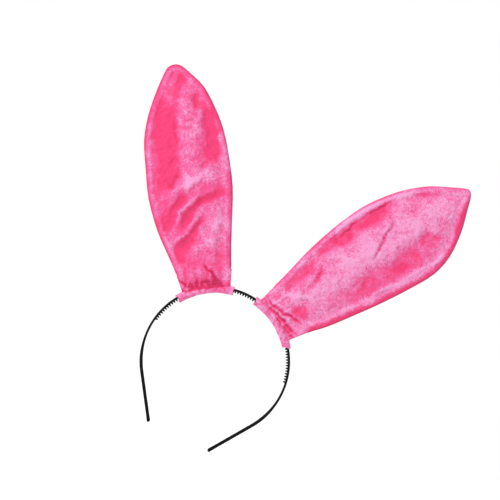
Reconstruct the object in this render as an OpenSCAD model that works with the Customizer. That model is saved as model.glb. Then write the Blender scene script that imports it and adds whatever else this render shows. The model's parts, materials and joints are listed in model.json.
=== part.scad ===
// Bunny ears headband: a sprung plastic hoop with comb teeth, and two fabric ears on it.
// Each ear is a flat pouch of two velour panels over a bent wire frame and a thin sheet of wadding.
// Its lower hem is a casing that the hoop threads through, so the ear slides round the hoop and
// folds forwards and back at its neck.
//
// Frame: +Z up through the crown, +X to the right seen from the front, the front faces -Y.
// The origin is on the inner face of the hoop at the crown, where the hoop sits on the head.
// Left and right are as seen from the front.

/* [Hoop] */
// Outer diameter of the round part of the hoop
hoop_d = 130; // [120:1:140]
// Radial thickness of the hoop
hoop_t = 2.0; // [1.6:0.1:2.4]
// Thickness of the straight ends of the arms
tip_t = 2.8; // [2.4:0.1:3.2]
// Width of the hoop, front to back
hoop_w = 5.0; // [4:0.5:7]
// Angle from the crown at which each arm leaves the circle and runs straight
arm_turn = 124; // [115:1:130]
// Length of the straight end of each arm
arm_straight = 44; // [30:1:50]
// Angle from the crown at which each arm flexes
flex_angle = 66; // [62:1:68]

/* [Comb] */
// Angle between two teeth
tooth_step = 2.2; // [2:0.1:3]
// Angle from the crown to the last tooth
comb_end = 81; // [76:1:90]
// Length of a tooth
tooth_len = 1.8; // [1:0.1:2.2]
// Width of a tooth, front to back
tooth_w = 3.2; // [2:0.2:4]

/* [Ears] */
// Angle of the left ear from the crown
left_clock = -34; // [-38:1:-30]
// Angle of the right ear from the crown
right_clock = 30; // [27:1:36]
// Length of the left ear from its neck to its tip
left_length = 187; // [150:1:220]
// Length of the right ear from its neck to its tip
right_length = 193; // [150:1:220]
// Greatest width of the left ear, which its creases draw in
left_width = 74; // [66:1:86]
// Greatest width of the right ear
right_width = 82; // [66:1:86]
// Thickness of an ear, front to back
ear_t = 8; // [6.6:0.2:9]
// Thickness of the velour
cloth_t = 1.0; // [0.8:0.1:1.2]
// Diameter of the frame wire
wire_d = 1.4; // [1:0.1:1.6]

/* [Casing] */
// Half of the angle that a casing covers on the hoop
casing_half = 22.5; // [18:0.5:24]
// Gap between the hoop and the lining of the casing
casing_gap = 0.5; // [0.3:0.1:0.6]
// Thickness of the casing, which is two layers of velour
casing_t = 1.6; // [1:0.1:1.8]

/* [Hidden] */
$fn = 96;

hoop_ro = hoop_d / 2;
hoop_ri = hoop_ro - hoop_t;
hoop_rm = hoop_ro - hoop_t / 2;

// width of a tooth along the hoop, at its root and at its tip
tooth_root = 1.9;
tooth_tip = 0.5;
// angles from the crown between which an arm thickens
thicken_from = 94;
thicken_to = 116;
// how far two shapes that make one piece run into each other
weld = 0.3;

// the round end of an arm is a little thicker than the arm
bead_r = tip_t / 2 + 0.1;

// the flex joint: a round knuckle on the arm in a round cup in the crown
knuckle_r = hoop_t / 2 + 0.15;
knuckle_w = hoop_w - 0.4;
cup_r = knuckle_r + 0.15;

// the casing is a tube bent round the hoop, with a web up to the neck of the ear
bore_ri = hoop_ri - tooth_len - casing_gap;
bore_ro = hoop_ro + casing_gap;
casing_ri = bore_ri - casing_t;
casing_ro = bore_ro + casing_t;
casing_w = hoop_w + 2 * (casing_gap + casing_t);
casing_chamfer = 0.8;
web_w = 5.2;
// the web starts this far under the outer face of the casing
web_sink = 0.4;

// the neck: a rolled hem on the ear that turns in a trough along the top of the casing
neck_s = casing_ro + 2.3;
roll_r = 1.2;
trough_r = roll_r + 0.15;
lip_drop = 0.4;
neck_gap = 3.0;
hem_t = 1.6;
neck_half = 22;
hem_half = neck_half - 1;
// the hem's web runs this far up into the panel
hem_sink = 0.8;
ear_s = neck_s + neck_gap;

// the row of stitches across the casing
stitch_r = 0.25;
stitch_len = 2.2;
stitch_step = 3.0;
stitch_count = 14;
// how far the row lies under the neck, and how far the thread stands out of the cloth
stitch_drop = 1.6;
stitch_proud = 0.1;

// how far in from the ear's edge each inner piece lies
cavity_in = 1.2;
thread_in = 2.0;
wire_in = 4.6;
wadding_in = 8.4;
cavity_half = ear_t / 2 - cloth_t;
wadding_t = 3.2;
thread_r = 0.25;

// the ends of the wire lap over this half length, one in front of the other, inside a wrap of tape
wire_lap = 7;
wire_lap_y = wire_d / 2 + 0.1;
// the round part of the wire starts this far from its lapped ends
wire_turn = 2;
wrap_len = 12;
wrap_gap = 0.1;
wrap_t = 0.3;

velour = "hotpink";
// the edge of each ear from its neck to its tip: height as a share of the length, then the left and
// the right edge as shares of half the greatest width
left_edge = [[0, 0.60, 0.66], [0.04, 0.63, 0.68], [0.13, 0.76, 0.74], [0.25, 0.93, 0.84], [0.40, 1.03, 0.96],
    [0.55, 1.00, 0.97], [0.67, 0.95, 0.93], [0.78, 0.78, 0.80], [0.88, 0.53, 0.61], [0.95, 0.32, 0.34],
    [0.99, 0.17, 0.15]];
right_edge = [[0, 0.57, 0.54], [0.04, 0.63, 0.58], [0.13, 0.72, 0.71], [0.25, 0.85, 0.82], [0.40, 0.95, 0.94],
    [0.55, 0.98, 1.02], [0.66, 0.91, 1.04], [0.76, 0.78, 0.92], [0.86, 0.56, 0.64], [0.94, 0.28, 0.32],
    [0.99, 0.09, 0.11]];
// an ear is [length, greatest width, outline]
left_ear = [left_length, left_width, left_edge];
right_ear = [right_length, right_width, right_edge];

// ---- curves ----

// a point on the smooth curve through p1 and p2, whose neighbours are p0 and p3
function between(p0, p1, p2, p3, u) = p1 + 0.5 * u * (p2 - p0
    + u * (2 * p0 - 5 * p1 + 4 * p2 - p3 + u * (3 * (p1 - p2) + p3 - p0)));

// the smooth closed curve through a ring of points, with this many steps from each to the next
function smooth_ring(ring, steps) = let (n = len(ring)) [for (i = [0 : n - 1], j = [0 : steps - 1])
    between(ring[(i + n - 1) % n], ring[i], ring[(i + 1) % n], ring[(i + 2) % n], j / steps)];

// the outline of an ear, seen from the front, taken in from its edge by inset on every side
function ear_outline(ear, inset) =
    let (w = ear[1] / 2 - inset, h = ear[0] - 2 * inset,
        up = [for (p = ear[2]) [w * p[2], inset + h * p[0]]],
        down = [for (i = [len(up) - 1 : -1 : 0]) [-w * ear[2][i][1], up[i][1]]])
    smooth_ring(concat([[0, inset]], up, [[0, inset + h]], down), 3);

// the direction across a path, in the plane of the ear, at its point i
function across(path, i) =
    let (d = path[min(i + 1, len(path) - 1)] - path[max(i - 1, 0)], l = norm([d[0], d[2]]))
    [-d[2] / l, 0, d[0] / l];

// a round bar that follows a path of points in the plane of the ear
module bar(path, r, sides, closed) {
    n = len(path);
    rings = [for (i = [0 : n - 1], k = [0 : sides - 1])
        path[i] + r * (cos(360 * k / sides) * across(path, i) + [0, sin(360 * k / sides), 0])];
    walls = [for (i = [0 : n - (closed ? 1 : 2)], k = [0 : sides - 1])
        let (j = (i + 1) % n, m = (k + 1) % sides)
        [i * sides + k, j * sides + k, j * sides + m, i * sides + m]];
    ends = closed ? [] : [[for (k = [0 : sides - 1]) k],
        [for (k = [sides - 1 : -1 : 0]) (n - 1) * sides + k]];
    polyhedron(rings, concat(walls, ends));
}

// ---- places ----

// turns its children round the hoop: local Z runs out from the hoop's centre, local X along the hoop
module on_hoop(clock) {
    translate([0, 0, -hoop_ri]) rotate([0, clock, 0]) children();
}

// a slab of this thickness with the outline drawn in its X-Z plane, from y down to y - thickness
module slab(thickness, y = 0) {
    translate([0, y, 0]) rotate([90, 0, 0]) linear_extrude(thickness) children();
}

// a ring round the hoop's centre, between two clock angles, of the section drawn by its children
module sweep(from, to) {
    on_hoop(0) rotate([90, 0, 0]) rotate([0, 0, 90 - to]) rotate_extrude(angle = to - from) children();
}

// ---- hoop ----

module band(from, to) {
    sweep(from, to) translate([hoop_ri, -hoop_w / 2]) square([hoop_t, hoop_w]);
}

// half the thickness of an arm at a clock angle
function arm_half_t(clock) = let (u = (min(clock, thicken_to) - thicken_from) / (thicken_to - thicken_from))
    hoop_t / 2 + (tip_t - hoop_t) / 2 * u * u * (3 - 2 * u);

// the last part of the arc of an arm, which thickens on its way
module thickening_band() {
    clocks = [for (k = [0 : 1 : arm_turn - thicken_from]) thicken_from + k];
    on_hoop(0) slab(hoop_w, hoop_w / 2) polygon(concat(
        [for (a = clocks) (hoop_rm + arm_half_t(a)) * [sin(a), cos(a)]],
        [for (k = [len(clocks) - 1 : -1 : 0]) (hoop_rm - arm_half_t(clocks[k])) * [sin(clocks[k]), cos(clocks[k])]]));
}

module tooth(clock) {
    on_hoop(clock) slab(tooth_w, tooth_w / 2)
        polygon([[-tooth_root / 2, hoop_ri + weld], [tooth_root / 2, hoop_ri + weld],
            [tooth_root / 2, hoop_ri], [tooth_tip / 2, hoop_ri - tooth_len],
            [-tooth_tip / 2, hoop_ri - tooth_len], [-tooth_root / 2, hoop_ri]]);
}

// a cylinder across the hoop at one of its flex joints
module knuckle(side, r, w) {
    on_hoop(side * flex_angle) translate([0, 0, hoop_rm]) rotate([90, 0, 0])
        cylinder(r = r, h = w, center = true);
}

module hoop_crown() {
    color("black") difference() {
        union() {
            band(-flex_angle, flex_angle);
            for (side = [-1, 1], clock = [tooth_step / 2 : tooth_step : flex_angle - tooth_step / 3])
                tooth(side * clock);
        }
        for (side = [-1, 1]) knuckle(side, cup_r, 2 * hoop_w);
    }
}

module hoop_right_arm() {
    first = tooth_step / 2 + tooth_step * ceil((flex_angle - tooth_step / 3) / tooth_step);
    color("black") {
        band(flex_angle, thicken_from);
        thickening_band();
        knuckle(1, knuckle_r, knuckle_w);
        for (clock = [first : tooth_step : comb_end]) tooth(clock);
        on_hoop(arm_turn) slab(hoop_w, hoop_w / 2) {
            polygon([[0, hoop_rm - tip_t / 2], [0, hoop_rm + tip_t / 2],
                [arm_straight - bead_r, hoop_rm + tip_t / 2],
                [arm_straight - bead_r, hoop_rm - tip_t / 2]]);
            translate([arm_straight - bead_r, hoop_rm]) circle(r = bead_r);
        }
    }
}

module hoop_left_arm() {
    mirror([1, 0, 0]) hoop_right_arm();
}

// ---- casings ----

module casing_section(ri, ro, w, chamfer) {
    polygon([[ri + chamfer, -w / 2], [ro - chamfer, -w / 2], [ro, chamfer - w / 2], [ro, w / 2 - chamfer],
        [ro - chamfer, w / 2], [ri + chamfer, w / 2], [ri, w / 2 - chamfer], [ri, chamfer - w / 2]]);
}

module casing(clock) {
    web_r = casing_ro - web_sink;
    end_x = web_r * sin(casing_half);
    end_s = web_r * cos(casing_half);
    color(velour) {
        difference() {
            sweep(clock - casing_half, clock + casing_half)
                casing_section(casing_ri, casing_ro, casing_w, casing_chamfer);
            sweep(clock - casing_half - 1, clock + casing_half + 1)
                translate([bore_ri, -hoop_w / 2 - casing_gap])
                    square([bore_ro - bore_ri, hoop_w + 2 * casing_gap]);
        }
        on_hoop(clock) difference() {
            slab(web_w, web_w / 2) difference() {
                polygon([[-end_x, end_s], [end_x, end_s],
                    [neck_half, neck_s - lip_drop], [-neck_half, neck_s - lip_drop]]);
                circle(r = web_r - weld);
            }
            translate([0, 0, neck_s]) rotate([0, 90, 0])
                cylinder(r = trough_r, h = 3 * neck_half, center = true);
        }
    }
}

module casing_stitches(clock) {
    color("deeppink") on_hoop(clock)
        for (i = [0 : stitch_count - 1])
            translate([(i - (stitch_count - 1) / 2) * stitch_step, -web_w / 2 - stitch_proud,
                neck_s - stitch_drop])
                rotate([0, 90, 0]) cylinder(r = stitch_r, h = stitch_len, center = true, $fn = 16);
}

// ---- ears ----

// one panel: a shallow tray of velour with half of the rolled hem at its neck, on the side y < 0
module panel(clock, ear) {
    color(velour) on_hoop(clock) {
        difference() {
            translate([0, 0, ear_s]) slab(ear_t / 2) polygon(ear_outline(ear, 0));
            translate([0, 0, ear_s]) slab(2 * cavity_half, cavity_half)
                polygon(ear_outline(ear, cavity_in));
        }
        slab(hem_t / 2) translate([-hem_half, neck_s]) square([2 * hem_half, neck_gap + hem_sink]);
        difference() {
            translate([0, 0, neck_s]) rotate([0, 90, 0])
                cylinder(r = roll_r, h = 2 * hem_half, center = true);
            translate([-neck_half, 0, neck_s - 2 * roll_r]) cube([2 * neck_half, 2 * roll_r, 4 * roll_r]);
        }
    }
}

module front_panel(clock, ear) {
    panel(clock, ear);
}

module back_panel(clock, ear) {
    mirror([0, 1, 0]) panel(clock, ear);
}

// the frame: one wire round the inside of the ear, its two ends lapped side by side at the neck
module ear_wire(clock, ear) {
    ring = ear_outline(ear, wire_in);
    n = len(ring);
    ends = [[-wire_lap, -wire_lap_y, wire_in], [wire_lap, wire_lap_y, wire_in]];
    loop = [for (i = [1 : n - 1]) if (norm(ring[i] - ring[0]) > wire_lap + wire_turn)
        [ring[i][0], wire_lap_y * (2 * i / n - 1), ring[i][1]]];
    color("silver") on_hoop(clock) translate([0, 0, ear_s])
        bar(concat([ends[0], [wire_lap, -wire_lap_y, wire_in]], loop,
            [[-wire_lap, wire_lap_y, wire_in], ends[1]]), wire_d / 2, 8, false);
}

// a wrap of tape round the two lapped ends of the wire
module wire_wrap(clock) {
    bore = wire_lap_y + wire_d / 2 + wrap_gap;
    color("white") on_hoop(clock) translate([0, 0, ear_s + wire_in]) rotate([0, 90, 0]) difference() {
        cylinder(r = bore + wrap_t, h = wrap_len, center = true);
        cylinder(r = bore, h = wrap_len + 2, center = true);
    }
}

module ear_wadding(clock, ear) {
    color("white") on_hoop(clock) translate([0, 0, ear_s])
        slab(wadding_t, wadding_t / 2) polygon(ear_outline(ear, wadding_in));
}

// the seam that joins the two panels, just inside their edge
module seam_thread(clock, ear) {
    path = [for (p = ear_outline(ear, thread_in)) [p[0], 0, p[1]]];
    color("deeppink") on_hoop(clock) translate([0, 0, ear_s]) bar(path, thread_r, 6, true);
}

hoop_crown();
hoop_left_arm();
hoop_right_arm();
casing(left_clock);  // left_casing
casing_stitches(left_clock);  // left_casing_stitches
front_panel(left_clock, left_ear);  // left_ear_front
back_panel(left_clock, left_ear);  // left_ear_back
ear_wire(left_clock, left_ear);  // left_ear_wire
wire_wrap(left_clock);  // left_wire_wrap
ear_wadding(left_clock, left_ear);  // left_ear_wadding
seam_thread(left_clock, left_ear);  // left_seam_thread
casing(right_clock);  // right_casing
casing_stitches(right_clock);  // right_casing_stitches
front_panel(right_clock, right_ear);  // right_ear_front
back_panel(right_clock, right_ear);  // right_ear_back
ear_wire(right_clock, right_ear);  // right_ear_wire
wire_wrap(right_clock);  // right_wire_wrap
ear_wadding(right_clock, right_ear);  // right_ear_wadding
seam_thread(right_clock, right_ear);  // right_seam_thread
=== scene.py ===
# %% [markdown]
# # Rabbit ears headband
# A narrow plastic hoop with comb teeth inside it, and two hot pink velour ears. Each ear is a sewn pouch
# over a bent wire, and its hem is a casing that the hoop threads through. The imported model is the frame:
# sizes and places are read from it or from a few named values, so that the soft pieces land on it.

# %% Load the frame
import bpy
import bmesh
import json
import numpy as np
from math import atan2, copysign, cos, degrees, dist, exp, hypot, pi, radians, sin
from mathutils import Matrix, Vector, noise


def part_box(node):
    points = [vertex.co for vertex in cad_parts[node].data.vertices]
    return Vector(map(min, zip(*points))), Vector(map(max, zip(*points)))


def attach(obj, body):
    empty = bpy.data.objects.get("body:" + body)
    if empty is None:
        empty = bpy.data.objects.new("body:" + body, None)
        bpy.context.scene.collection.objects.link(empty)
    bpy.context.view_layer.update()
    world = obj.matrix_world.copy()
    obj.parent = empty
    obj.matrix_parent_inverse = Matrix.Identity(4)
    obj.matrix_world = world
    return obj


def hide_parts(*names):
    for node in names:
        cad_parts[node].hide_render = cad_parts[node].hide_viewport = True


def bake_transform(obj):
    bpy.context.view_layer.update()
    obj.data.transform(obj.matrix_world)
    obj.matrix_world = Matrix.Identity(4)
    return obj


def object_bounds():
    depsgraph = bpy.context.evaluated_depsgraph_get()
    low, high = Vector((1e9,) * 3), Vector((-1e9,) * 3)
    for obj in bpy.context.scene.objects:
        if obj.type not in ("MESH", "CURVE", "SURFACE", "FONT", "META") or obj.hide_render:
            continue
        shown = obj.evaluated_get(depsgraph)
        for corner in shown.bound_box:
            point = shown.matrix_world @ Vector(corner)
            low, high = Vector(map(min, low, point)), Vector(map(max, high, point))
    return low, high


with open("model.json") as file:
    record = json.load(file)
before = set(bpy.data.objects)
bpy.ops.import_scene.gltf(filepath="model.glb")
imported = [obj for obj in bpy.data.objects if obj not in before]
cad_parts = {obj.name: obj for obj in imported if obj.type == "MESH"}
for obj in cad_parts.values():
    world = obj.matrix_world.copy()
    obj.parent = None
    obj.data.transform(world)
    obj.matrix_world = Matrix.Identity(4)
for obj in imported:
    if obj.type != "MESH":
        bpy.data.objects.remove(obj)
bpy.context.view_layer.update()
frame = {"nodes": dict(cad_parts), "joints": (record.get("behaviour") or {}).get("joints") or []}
joints = {j["name"]: j for j in frame["joints"]}
MM = 0.001

# %% [markdown]
# The hoop is a circle, so most places are a clock angle from its crown and a distance from its centre.
# The sliding joint of either ear turns about that centre, and the tilt joint lies on the ear's neck.

# %% Sizes of the hoop, in millimetres
CENTRE = np.array(joints["left_ear_slide"]["pos_m"]) / MM
crown_low, crown_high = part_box("hoop_crown")
HOOP_IN = -CENTRE[2]
HOOP_OUT = crown_high.z / MM - CENTRE[2]
HOOP_WIDE = (crown_high.y - crown_low.y) / MM
BAND = HOOP_OUT - HOOP_IN
TO_BACK = np.array([0, 1, 0])


def compass(angle):
    """The direction out from the hoop's centre, and the one onward round the hoop, at a clock angle."""
    return np.array([sin(angle), 0, cos(angle)]), np.array([cos(angle), 0, -sin(angle)])


def row(points):
    """Points given in mm as [x, y, z], in the row frame's metres."""
    return np.asarray(points, float) * MM


def put(name, data):
    """A new object of this data in the scene."""
    obj = bpy.data.objects.new(name, data)
    bpy.context.scene.collection.objects.link(obj)
    return obj


# %% [markdown]
# ## Materials
# Three finishes show: moulded plastic, crushed velour and sewing thread. Each is a few nodes on Object
# coordinates, with its grain sized in millimetres. `add` makes a node, sets its values and joins its
# inputs, and the helpers after it are the nodes that are used most.

# %% Helpers for materials
def shade(hex_colour):
    """An sRGB hex colour as the linear RGBA that Blender's nodes take."""
    parts = [int(hex_colour[i:i + 2], 16) / 255 for i in (1, 3, 5)]
    return (*[c / 12.92 if c <= 0.04045 else ((c + 0.055) / 1.055) ** 2.4 for c in parts], 1.0)


def add(tree, kind, values=None, links=None, **settings):
    """Adds a node: settings are its own properties, values its sockets' constants, links its inputs."""
    node = tree.nodes.new(kind)
    for name, value in settings.items():
        setattr(node, name, value)
    for socket, value in (values or {}).items():
        node.inputs[socket].default_value = value
    for socket, source in (links or {}).items():
        tree.links.new(source, node.inputs[socket])
    return node


def new_material(name, surface):
    """A material, its node tree and its Principled shader, with these constants set on the shader."""
    material = bpy.data.materials.new(name)
    material.use_nodes = True
    shader = material.node_tree.nodes["Principled BSDF"]
    for socket, value in surface.items():
        shader.inputs[socket].default_value = value
    return material, material.node_tree, shader


def noise_at(tree, place, size, detail, **values):
    """A noise whose features are about `size` millimetres across."""
    values = {"Scale": 1000.0 / size, "Detail": detail, **values}
    return add(tree, "ShaderNodeTexNoise", values, {"Vector": place}).outputs["Fac"]


def remap(tree, value, old, new=(0.0, 1.0), kind="LINEAR"):
    """A value carried from the old range to the new one."""
    ends = dict(zip(("From Min", "From Max", "To Min", "To Max"), (*old, *new)))
    return add(tree, "ShaderNodeMapRange", ends, {"Value": value}, interpolation_type=kind).outputs["Result"]


def work_out(tree, operation, *terms):
    """One sum with Math: a term that is a number is set, and one that is a socket is joined."""
    numbers = {k: term for k, term in enumerate(terms) if isinstance(term, float)}
    sockets = {k: term for k, term in enumerate(terms) if k not in numbers}
    return add(tree, "ShaderNodeMath", numbers, sockets, operation=operation).outputs[0]


def mix_colours(tree, share, low, high):
    """A colour between two that are given in hex, and the share may be any socket."""
    node = add(tree, "ShaderNodeMix", {"A": shade(low), "B": shade(high)}, {"Factor": share}, data_type="RGBA")
    return node.outputs["Result"]


def dress(tree, shader, colour, height, strength, depth):
    """Gives the shader its colour, and a bump from a height, `depth` millimetres deep."""
    bump = add(tree, "ShaderNodeBump", {"Strength": strength, "Distance": depth * MM}, {"Height": height})
    tree.links.new(colour, shader.inputs["Base Color"])
    tree.links.new(bump.outputs["Normal"], shader.inputs["Normal"])


# %% [markdown]
# The hoop is injection-moulded polystyrene or nylon in black. It is handled and a little scuffed, with a
# very faint waviness, so a highlight on it is dim and broken.

# %% Moulded plastic
def make_plastic():
    material, tree, shader = new_material("black moulded plastic", {"Specular IOR Level": 0.10})
    place = add(tree, "ShaderNodeTexCoord").outputs["Object"]
    flow = noise_at(tree, place, 5, 2.0)
    scuff = noise_at(tree, place, 0.8, 4.0)
    tree.links.new(remap(tree, scuff, (0.0, 1.0), (0.34, 0.52)), shader.inputs["Roughness"])
    dress(tree, shader, mix_colours(tree, flow, "#020203", "#09090b"), flow, 0.15, 0.1)
    return material


plastic = make_plastic()

# %% [markdown]
# Velour has a cut pile. Lying flat it shows its dyed sides, deep and even, and rubbed up it shows its tips,
# pale and grainy. An attribute on each cloth piece says which, from 0 for lying to 1 for raised pile, and it
# also carries painted light: painted sheen, pale on ridges and full parts, and painted shade, deep in creases,
# hollows and along the outline. The shader's sheen gives the soft pale edge. The grain is coarser than real
# pile, so that it shows.

# %% Crushed velour
PILE_GRAIN = 1.1
# deep dyed colour of lying pile, first, to pale, last; the pale end stands for raised tips and also for painted
# sheen, and the deep end also for painted shade in creases and hollows
PILE_SHEEN_SHADE_COLOURS = [(0.0, "#b0204e"), (0.18, "#d63568"), (0.5, "#d4568c"), (1.0, "#d68fb8")]
GROUND_COLOUR = "#93507c"


def make_velour():
    surface = {"Roughness": 0.75, "Specular IOR Level": 0.2, "Sheen Weight": 0.22, "Sheen Roughness": 0.45,
               "Sheen Tint": shade("#ffb3d6")}
    material, tree, shader = new_material("hot pink crushed velour", surface)
    place = add(tree, "ShaderNodeTexCoord").outputs["Object"]
    # this value is the pile and also painted sheen and painted shade
    nap = add(tree, "ShaderNodeAttribute", attribute_name="nap").outputs["Fac"]
    grain = noise_at(tree, place, PILE_GRAIN, 2.0, Roughness=0.6)
    crush = noise_at(tree, place, 4.5, 3.0, Distortion=0.4)
    # the grain shows most where the pile is half raised, and less again where it all stands up
    depth = remap(tree, nap, (0.12, 0.7), (0.03, 0.52))
    depth = work_out(tree, "MULTIPLY", depth, remap(tree, nap, (0.5, 0.85), (1.0, 0.5)))
    speck = remap(tree, grain, (0.36, 0.60), kind="SMOOTHSTEP")
    speck = work_out(tree, "MULTIPLY", work_out(tree, "SUBTRACT", speck, 0.55), depth)
    patch = work_out(tree, "MULTIPLY", work_out(tree, "SUBTRACT", crush, 0.5), depth)
    total = work_out(tree, "ADD", speck, work_out(tree, "ADD", nap, patch))
    ramp = add(tree, "ShaderNodeValToRGB", None, {"Fac": total})
    while len(ramp.color_ramp.elements) < len(PILE_SHEEN_SHADE_COLOURS):
        ramp.color_ramp.elements.new(0.5)
    for element, (position, colour) in zip(ramp.color_ramp.elements, PILE_SHEEN_SHADE_COLOURS):
        element.position = position
        element.color = shade(colour)
    # between the raised tips the ground of the knit shows as small mauve specks
    gap = remap(tree, noise_at(tree, place, 0.9, 1.0), (0.46, 0.34), (0.0, 1.1), "SMOOTHSTEP")
    gap = work_out(tree, "MULTIPLY", gap, depth)
    tone = add(tree, "ShaderNodeMix", {"B": shade(GROUND_COLOUR)}, {"Factor": gap, "A": ramp.outputs["Color"]},
               data_type="RGBA")
    dress(tree, shader, tone.outputs["Result"], grain, 0.6, 0.3)
    return material


velour = make_velour()

# %% [markdown]
# The rest is hidden inside the ears but is finished too: spun polyester thread, bright drawn wire, woven
# tape and needled wadding.

# %% Thread, wire, tape and wadding
def make_grained(name, low, high, grain, roughness, metallic=0.0, bump_depth=0.05):
    """A plain finish whose colour and surface vary with one noise of that grain, in millimetres."""
    material, tree, shader = new_material(name, {"Metallic": metallic, "Roughness": roughness})
    fleck = noise_at(tree, add(tree, "ShaderNodeTexCoord").outputs["Object"], grain, 3.0)
    dress(tree, shader, mix_colours(tree, fleck, low, high), fleck, 0.4, bump_depth)
    return material


thread = make_grained("pink spun polyester thread", "#c41c5a", "#f0559a", 0.25, 0.6)
wire_steel = make_grained("bright drawn steel wire", "#8c8e92", "#c4c6c9", 0.6, 0.28, metallic=1.0)
tape = make_grained("white cotton tape", "#d8d4ca", "#f4f1ea", 0.4, 0.85)
wadding_fibre = make_grained("white needled wadding", "#e4e4e0", "#fbfbf8", 1.5, 0.95, bump_depth=0.4)

# %% [markdown]
# ## Camera
# The headband is seen straight from the front, from far enough that nothing foreshortens, and it lies
# turned clockwise. The camera is turned the other way, so the ears lean to the right.

# %% Camera
ROLL = radians(26.25)
# the width of the picture at the object, in metres
SEEN = 0.4327
LENS, SENSOR = 200.0, 36.0
aim = Vector((-0.0155, 0.0, 0.0368))
camera_data = bpy.data.cameras.new("camera")
camera_data.lens, camera_data.sensor_width = LENS, SENSOR
camera = put("camera", camera_data)
right = Vector((cos(ROLL), 0, sin(ROLL)))
up = Vector((-sin(ROLL), 0, cos(ROLL)))
toward = Vector((0, -1, 0))
turn = Matrix((right, up, toward)).transposed().to_4x4()
camera.matrix_world = Matrix.Translation(aim + toward * (SEEN * LENS / SENSOR)) @ turn
bpy.context.scene.camera = camera

# %% [markdown]
# ## Meshes from grids
# Every cloth piece and the hoop's band is a grid of points, so one function turns a grid into a mesh. It
# can close the grid either way, and it merges points that meet, as at an ear's tip.

# %% Mesh helpers
def link(name, mesh, material):
    """A new object of this mesh at the origin, shaded smooth, in one material."""
    obj = put(name, mesh)
    mesh.materials.clear()
    mesh.materials.append(material)
    mesh.shade_smooth()
    return obj


def grid_mesh(name, points, close_rows=False, close_columns=False, values=None):
    """A mesh from points[row][column], in mm, with an optional value for each point of pile, painted sheen and
    painted shade.
    """
    rows, columns = points.shape[:2]
    mesh = bpy.data.meshes.new(name)
    number = np.arange(rows * columns).reshape(rows, columns)
    if close_rows:
        number = np.vstack([number, number[:1]])
    if close_columns:
        number = np.hstack([number, number[:, :1]])
    faces = np.stack([number[:-1, :-1], number[:-1, 1:], number[1:, 1:], number[1:, :-1]], -1).reshape(-1, 4)
    mesh.from_pydata(row(points.reshape(-1, 3)).tolist(), [], faces.tolist())
    if values is not None:
        nap = mesh.attributes.new("nap", "FLOAT", "POINT")
        nap.data.foreach_set("value", values.ravel().astype(np.float32))
    shape = bmesh.new()
    shape.from_mesh(mesh)
    bmesh.ops.remove_doubles(shape, verts=shape.verts, dist=0.01 * MM)
    bmesh.ops.recalc_face_normals(shape, faces=shape.faces)
    shape.to_mesh(mesh)
    shape.free()
    return mesh


def capped(rings):
    """Rings of points with one point, repeated, at the middle of the first and of the last ring."""
    first, last = (np.repeat(rings[k].mean(0)[None], rings.shape[1], 0)[None] for k in (0, -1))
    return np.concatenate([first, rings, last])


def coordinates(mesh):
    """The places of a mesh's vertices, in mm."""
    spots = np.empty(len(mesh.vertices) * 3)
    mesh.vertices.foreach_get("co", spots)
    return spots.reshape(-1, 3) / MM


def flatten(obj):
    """Applies every modifier: the evaluated object becomes a plain mesh."""
    graph = bpy.context.evaluated_depsgraph_get()
    graph.update()
    mesh = bpy.data.meshes.new_from_object(obj.evaluated_get(graph))
    obj.modifiers.clear()
    obj.data = mesh
    return obj


def ease(x, low, high):
    """0 below low, 1 above high, and a smooth ramp between."""
    share = np.clip((x - low) / (high - low), 0, 1)
    return share * share * (3 - 2 * share)


# %% [markdown]
# ## The hoop
# The band is one rounded rectangle, swept round the circle and straight along each arm. It thickens on the last
# part of the arc and ends in a small bead. The real hoop is one piece. Here it is cut in three inside the
# casings, out of sight.

# %% The path of the band
ARM_TURN = 124.0
TIP_THICK = 2.8
BEAD, BEAD_LONG = 3.0, 2.4
COMB_STEP = 2.2
COMB_END = 81.0
CUT = 23 * COMB_STEP
EDGE_ROUND = 0.3
THICKEN_FROM, THICKEN_TO = 94.0, 116.0
arm_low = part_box("hoop_right_arm")[0].z / MM - CENTRE[2]
turn_at = radians(ARM_TURN)
# the straight length that brings the end of the arm down to where the CAD arm ends
straight = (arm_low - (HOOP_IN + BAND / 2) * cos(turn_at) + BEAD / 2) / -sin(turn_at) + BEAD / 2


def band_station(distance):
    """Place, direction out from the head, and thickness of the band, this far round from the crown."""
    middle = HOOP_IN + BAND / 2
    arc = middle * turn_at
    angle = min(distance, arc) / middle
    out, ahead = compass(angle)
    beyond = max(0.0, distance - arc)
    clock = degrees(distance / middle)
    thick = BAND + (TIP_THICK - BAND) * float(ease(clock, THICKEN_FROM, THICKEN_TO))
    from_end = max(0.0, arc + straight - BEAD / 2 - distance)
    thick += (BEAD - TIP_THICK) * exp(-(from_end / BEAD_LONG) ** 2)
    return CENTRE + out * middle + ahead * beyond, out, thick


def band_section(thick, wide):
    """The rounded rectangle of the band, as (out, across) pairs."""
    radius = min(EDGE_ROUND, thick / 2.01, wide / 2.01)
    corners = [(1, 1), (-1, 1), (-1, -1), (1, -1)]
    section = []
    for k, (a, b) in enumerate(corners):
        for step in range(6):
            angle = radians(90 * k + 90 * step / 5)
            section.append((a * (thick / 2 - radius) + radius * cos(angle),
                            b * (wide / 2 - radius) + radius * sin(angle)))
    return section


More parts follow.
